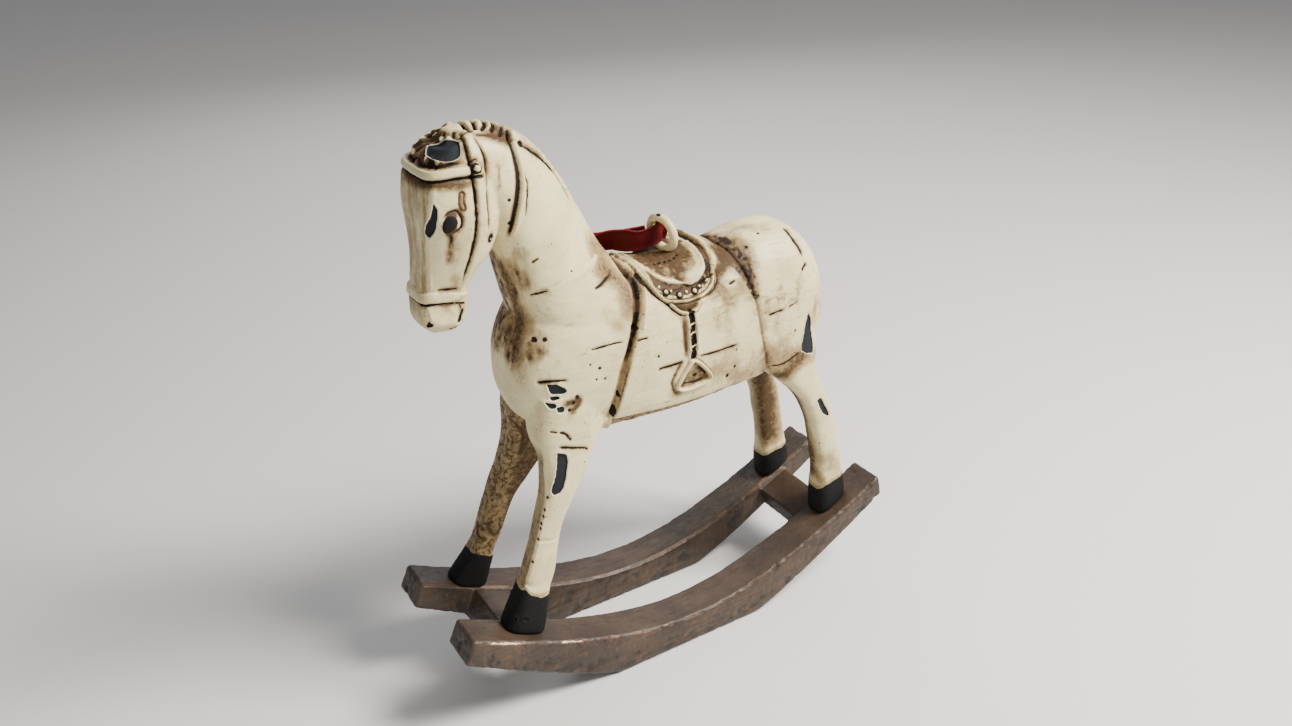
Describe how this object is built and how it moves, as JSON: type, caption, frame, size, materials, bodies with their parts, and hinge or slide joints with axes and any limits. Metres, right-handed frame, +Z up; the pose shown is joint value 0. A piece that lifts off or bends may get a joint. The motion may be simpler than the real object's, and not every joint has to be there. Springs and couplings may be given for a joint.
{
  "type": "rocking horse ornament",
  "caption": "Small standing horse with saddle and bridle in relief, on two curved rockers joined by two bars, with a wire eye and a ribbon loop.",
  "frame": {"origin": "on the ground under the middle of the horse and its rockers", "axes": "+Z up, -X the way the horse faces, -Y its left side"},
  "size_m": [0.1286, 0.0423, 0.1431],
  "materials": {
    "cream_paint": "aged cream paint on cast resin, brown wash in the recesses, black hooves",
    "brown_paint": "dark brown paint on cast resin, rubbed along the edges",
    "eye_paint": "cream paint on steel wire",
    "red_ribbon": "dull ribbed weave"
  },
  "bodies": {
    "root": {"horse": "cream_paint", "rocker_frame": "brown_paint", "hanging_eye": "eye_paint", "ribbon_loop": "red_ribbon"}
  },
  "joints": []
}
